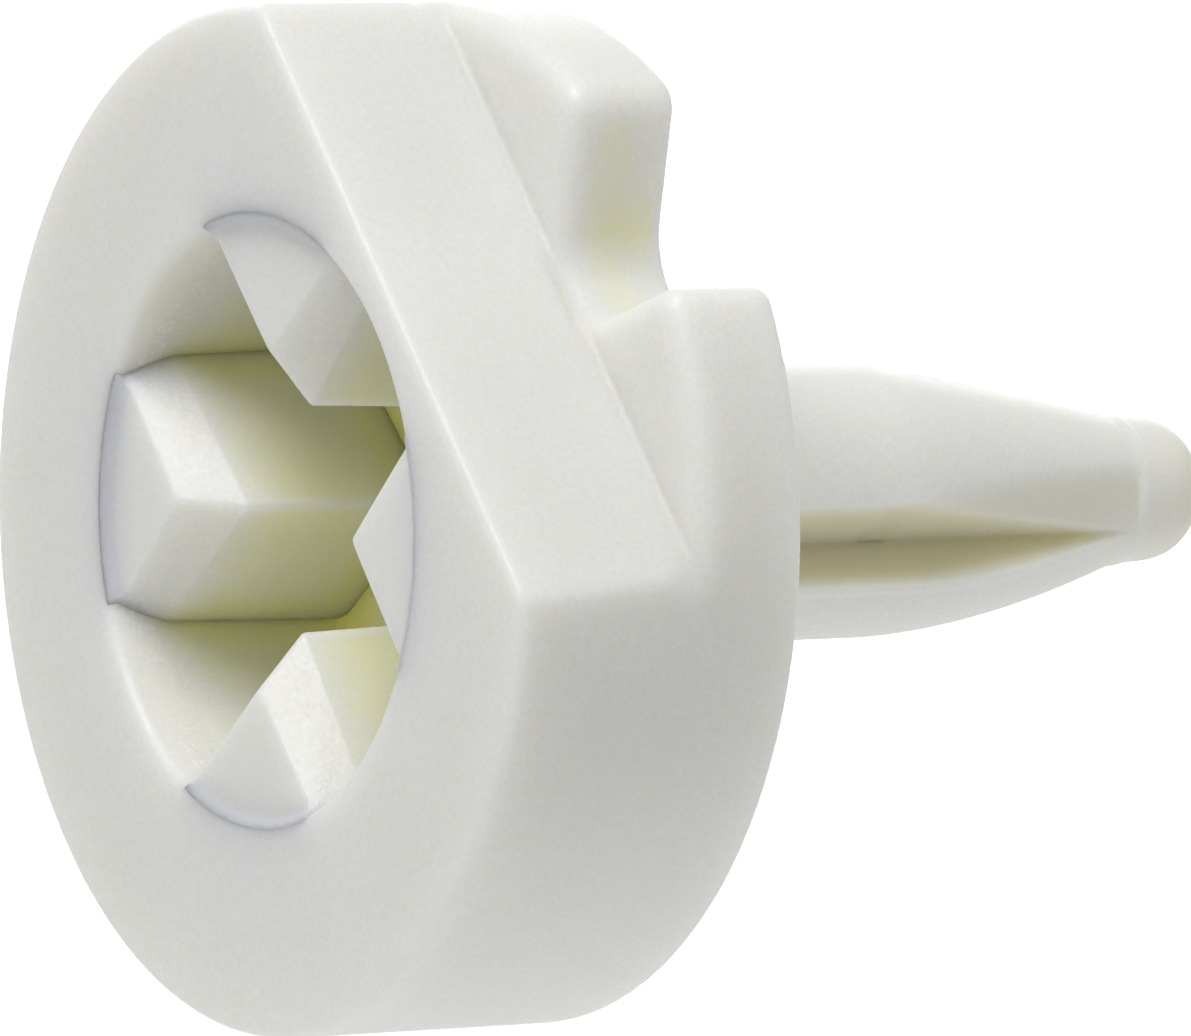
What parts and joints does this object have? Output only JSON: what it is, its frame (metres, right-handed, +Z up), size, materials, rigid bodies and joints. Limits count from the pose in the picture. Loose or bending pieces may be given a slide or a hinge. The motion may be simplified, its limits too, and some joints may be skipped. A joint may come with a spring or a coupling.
{
  "type": "wall anchor",
  "caption": "Moulded wall anchor: thick round head with a cross-shaped drive recess, a keying flat and a notched rim, on a grooved, tapered plug shank with a domed tip.",
  "frame": {"origin": "on the shank's axis, in the plane of the head's wall-bearing back face, at the mouth of the wall hole", "axes": "+Y along the shank into the wall, +X to the right and +Z up as the head's front face is looked at; the keying flat faces halfway between +X and +Z"},
  "size_m": [0.0218, 0.0239, 0.0218],
  "materials": {
    "nylon": "natural white moulded nylon, fine satin grain, slightly translucent",
    "nylon_eroded": "natural white moulded nylon with a coarser eroded grain at the lead-in",
    "nylon_shank": "natural white moulded nylon, smooth satin, slightly translucent"
  },
  "bodies": {
    "root": {"face_disc": "nylon", "rim_flange": "nylon", "bearing_web": "nylon", "drive_rib_right": "nylon_eroded", "drive_rib_top": "nylon_eroded", "drive_rib_left": "nylon_eroded", "drive_rib_bottom": "nylon_eroded", "shank_root": "nylon", "upper_leg": "nylon_shank", "lower_leg": "nylon_shank", "upper_leg_taper": "nylon_shank", "lower_leg_taper": "nylon_shank", "tip_knob": "nylon_shank"}
  },
  "joints": []
}
